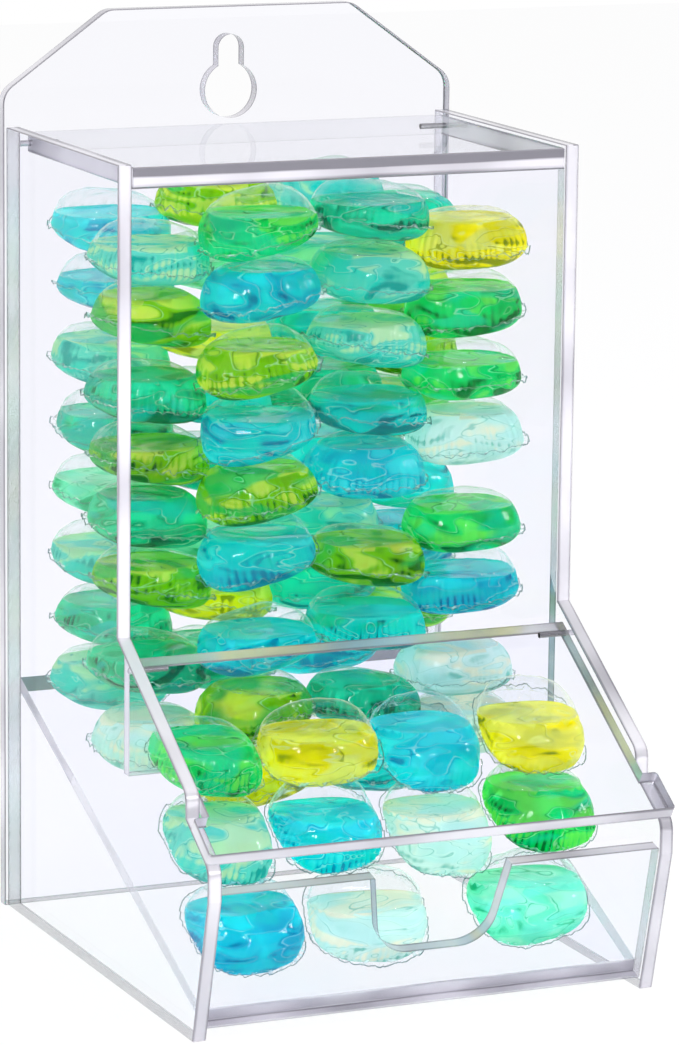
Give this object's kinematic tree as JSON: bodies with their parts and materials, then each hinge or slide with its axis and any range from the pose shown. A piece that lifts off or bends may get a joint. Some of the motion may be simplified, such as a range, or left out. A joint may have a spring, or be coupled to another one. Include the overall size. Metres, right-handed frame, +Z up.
{
  "type": "laundry pod dispenser",
  "caption": "Clear hopper for laundry pods with a lift-up top lid, a ramp to a slanted front tray, a hinged tray lid with a finger cut-out below it, and a keyhole for hanging.",
  "frame": {"origin": "centre of the bounding box at the base that the dispenser stands on", "axes": "+Z up along the back panel, +Y towards the wall, -Y towards the tray, +X to the right seen from the front"},
  "size_m": [0.172, 0.1964, 0.322],
  "materials": {
    "panel_clear": "clear polished acrylic sheet",
    "lid_clear": "clear polished acrylic sheet",
    "pin_steel": "drawn wire, bright",
    "pod_pearl": "liquid in clear soluble film",
    "pod_teal": "liquid in clear soluble film",
    "pod_lime": "liquid in clear soluble film",
    "pod_aqua": "liquid in clear soluble film",
    "pod_yellow": "liquid in clear soluble film",
    "pod_cyan": "liquid in clear soluble film",
    "pod_blue": "liquid in clear soluble film",
    "pod_green": "liquid in clear soluble film",
    "pod_azure": "liquid in clear soluble film",
    "pod_mint": "liquid in clear soluble film",
    "pod_pale": "liquid in clear soluble film"
  },
  "bodies": {
    "housing": {"back_panel": "panel_clear", "hopper_front_panel": "panel_clear", "ramp_panel": "panel_clear", "side_panel_left": "panel_clear", "side_panel_right": "panel_clear", "tray_front_panel": "panel_clear", "pod_left_1_pearl": "pod_pearl", "pod_left_2_teal": "pod_teal", "pod_left_3_lime": "pod_lime", "pod_left_4_teal": "pod_teal", "pod_left_5_lime": "pod_lime", "pod_left_6_teal": "pod_teal", "pod_left_7_lime": "pod_lime", "pod_left_8_aqua": "pod_aqua", "pod_mid_left_1_yellow": "pod_yellow", "pod_mid_left_2_lime": "pod_lime", "pod_mid_left_3_cyan": "pod_cyan", "pod_mid_left_4_cyan": "pod_cyan", "pod_mid_left_5_lime": "pod_lime", "pod_mid_left_6_cyan": "pod_cyan", "pod_mid_left_7_lime": "pod_lime", "pod_mid_left_8_blue": "pod_blue", "pod_mid_left_9_green": "pod_green", "pod_mid_right_1_azure": "pod_azure", "pod_mid_right_2_teal": "pod_teal", "pod_mid_right_3_azure": "pod_azure", "pod_mid_right_4_lime": "pod_lime", "pod_mid_right_5_cyan": "pod_cyan", "pod_mid_right_6_azure": "pod_azure", "pod_mid_right_7_aqua": "pod_aqua", "pod_mid_right_8_aqua": "pod_aqua", "pod_mid_right_9_teal": "pod_teal", "pod_right_1_pearl": "pod_pearl", "pod_right_2_pearl": "pod_pearl", "pod_right_3_blue": "pod_blue", "pod_right_4_green": "pod_green", "pod_right_5_pearl": "pod_pearl", "pod_right_6_green": "pod_green", "pod_right_7_green": "pod_green", "pod_right_8_yellow": "pod_yellow", "pod_tray_10_yellow": "pod_yellow", "pod_tray_11_green": "pod_green", "pod_tray_1_blue": "pod_blue", "pod_tray_2_pearl": "pod_pearl", "pod_tray_3_mint": "pod_mint", "pod_tray_4_aqua": "pod_aqua", "pod_tray_5_cyan": "pod_cyan", "pod_tray_6_pearl": "pod_pearl", "pod_tray_7_green": "pod_green", "pod_tray_8_yellow": "pod_yellow", "pod_tray_9_cyan": "pod_cyan", "pods_rear_blue": "pod_blue", "pods_rear_pale": "pod_pale", "pods_rear_yellow": "pod_yellow"},
    "top_lid": {"top_lid": "lid_clear", "top_lid_pin_left": "pin_steel", "top_lid_pin_right": "pin_steel"},
    "front_lid": {"front_lid": "lid_clear", "front_lid_pin_left": "pin_steel", "front_lid_pin_right": "pin_steel"}
  },
  "joints": [
    {"name": "top_lid_hinge", "type": "hinge", "parent": "housing", "child": "top_lid", "pos_m": [0, 0.08279, 0.2775], "axis": [-1, 0, 0], "range_deg": [0, 97]},
    {"name": "front_lid_hinge", "type": "hinge", "parent": "housing", "child": "front_lid", "pos_m": [0, -0.02208, 0.11179], "axis": [-1, 0, 0], "range_deg": [0, 124]}
  ]
}
